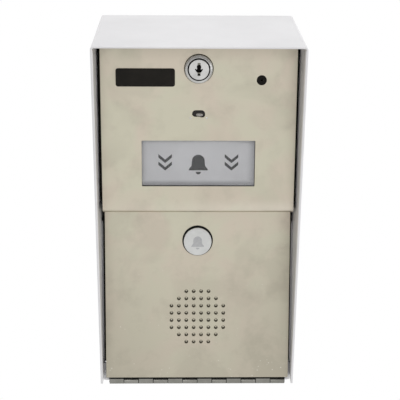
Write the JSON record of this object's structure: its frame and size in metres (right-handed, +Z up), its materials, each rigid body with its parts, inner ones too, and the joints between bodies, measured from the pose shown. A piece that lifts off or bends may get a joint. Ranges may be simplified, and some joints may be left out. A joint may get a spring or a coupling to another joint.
{
  "type": "hooded call station",
  "caption": "Wall-mounted weather-hooded call station with a stepped drop-down steel face, lit blank sign window, push button, loudspeaker grille and cam lock.",
  "frame": {"origin": "centre of the four wall bolts, on the back face that lies against the wall", "axes": "+X to the right as seen from the front, +Y backwards into the wall, +Z up"},
  "size_m": [0.165, 0.117, 0.3],
  "materials": {
    "white_coat": "white powder coat on folded sheet steel, semi-gloss",
    "bright_strike": "zinc-plated bent sheet",
    "black_foam": "closed-cell black foam strip",
    "black_rubber": "matt moulded rubber",
    "zinc_fastener": "zinc-plated steel fasteners",
    "hinge_steel": "rolled stainless hinge stock",
    "stainless_plate": "warm satin stainless steel, faintly stained and brushed",
    "black_badge": "bare black enamelled plate",
    "chromed_lock": "satin nickel-chrome over die-cast zinc",
    "lock_cam_steel": "zinc-plated stamped cam",
    "grey_lens": "smoky moulded lens",
    "black_plastic": "black moulded plastic",
    "lamp_glass": "pale yellow encapsulated lamps",
    "sign_acrylic": "clear acrylic window",
    "sign_card_white": "pale grey translucent card, left blank",
    "white_plastic": "white moulded plastic",
    "board_green": "green solder-masked glass-fibre board",
    "grey_cap": "pale grey moulded disc, left blank",
    "spring_steel": "wound spring wire",
    "bracket_zinc": "yellow-passivated bent sheet",
    "tinned_brass": "stamped terminal lugs",
    "steel_pin": "red moulded switch pin",
    "speaker_cloth": "fine woven black mesh",
    "speaker_steel": "black pressed steel basket",
    "speaker_paper": "coated paper cone with a rolled edge",
    "magnet_ferrite": "ferrite ring between zinc-plated plates",
    "standoff_brass": "turned brass hex standoffs",
    "terminal_green": "green moulded terminal block",
    "capacitor_sleeve": "dark blue shrink sleeve on aluminium cans",
    "chip_black": "black moulded packages",
    "lead_grey": "grey sheathed twin lead"
  },
  "bodies": {
    "enclosure": {"hood_shell": "white_coat", "back_pan": "white_coat", "strike_bracket": "bright_strike", "door_stops": "white_coat", "door_seals": "black_foam", "cable_bushing": "black_rubber", "ground_stud": "zinc_fastener", "ground_nuts": "zinc_fastener", "hinge_box_leaf": "hinge_steel", "hinge_pin": "hinge_steel"},
    "door": {"face_plate": "stainless_plate", "hinge_door_leaf": "hinge_steel", "badge_plate": "black_badge", "lock_housing": "chromed_lock", "lock_nut": "zinc_fastener", "microphone_boot": "black_rubber", "microphone_capsule": "chip_black", "slot_lens": "grey_lens", "lamp_holder": "black_plastic", "slot_lamp": "lamp_glass", "sign_lens": "sign_acrylic", "sign_card": "sign_card_white", "sign_tray": "white_plastic", "light_board": "board_green", "sign_lights": "lamp_glass", "button_guide": "black_plastic", "button_spring": "spring_steel", "switch_bracket": "bracket_zinc", "switch_body": "black_plastic", "switch_terminals": "tinned_brass", "switch_screws": "zinc_fastener", "speaker_mesh": "speaker_cloth", "speaker_seal": "black_foam", "speaker_basket": "speaker_steel", "speaker_cone": "speaker_paper", "speaker_magnet": "magnet_ferrite", "speaker_terminals": "tinned_brass", "panel_studs": "zinc_fastener", "panel_nuts": "zinc_fastener", "circuit_board": "board_green", "board_standoffs": "standoff_brass", "board_screws": "zinc_fastener", "terminal_block": "terminal_green", "relay": "black_plastic", "capacitors": "capacitor_sleeve", "board_chips": "chip_black", "board_plugs": "white_plastic", "microphone_lead": "lead_grey", "switch_lead": "lead_grey", "speaker_lead": "lead_grey", "sign_lead": "lead_grey"},
    "call_button": {"button_face": "grey_cap", "button_plunger": "black_plastic", "button_clip": "zinc_fastener", "switch_pin": "steel_pin"},
    "lock": {"lock_plug": "chromed_lock", "lock_cam": "lock_cam_steel", "lock_screw": "zinc_fastener"}
  },
  "joints": [
    {"name": "door_hinge", "type": "hinge", "parent": "enclosure", "child": "door", "pos_m": [0, -0.10664, -0.15063], "axis": [1, 0, 0], "range_deg": [0, 180]},
    {"name": "button_press", "type": "slide", "parent": "door", "child": "call_button", "axis": [0, 0.9714, -0.2375], "range_m": [0, 0.0025], "stiffness_N_per_m": 600, "springref_m": -0.003, "deforming": ["button_spring"]},
    {"name": "lock_turn", "type": "hinge", "parent": "door", "child": "lock", "pos_m": [0.0003, -0.08226, 0.12121], "axis": [0, 0.9933, -0.1153], "range_deg": [0, 90]}
  ]
}
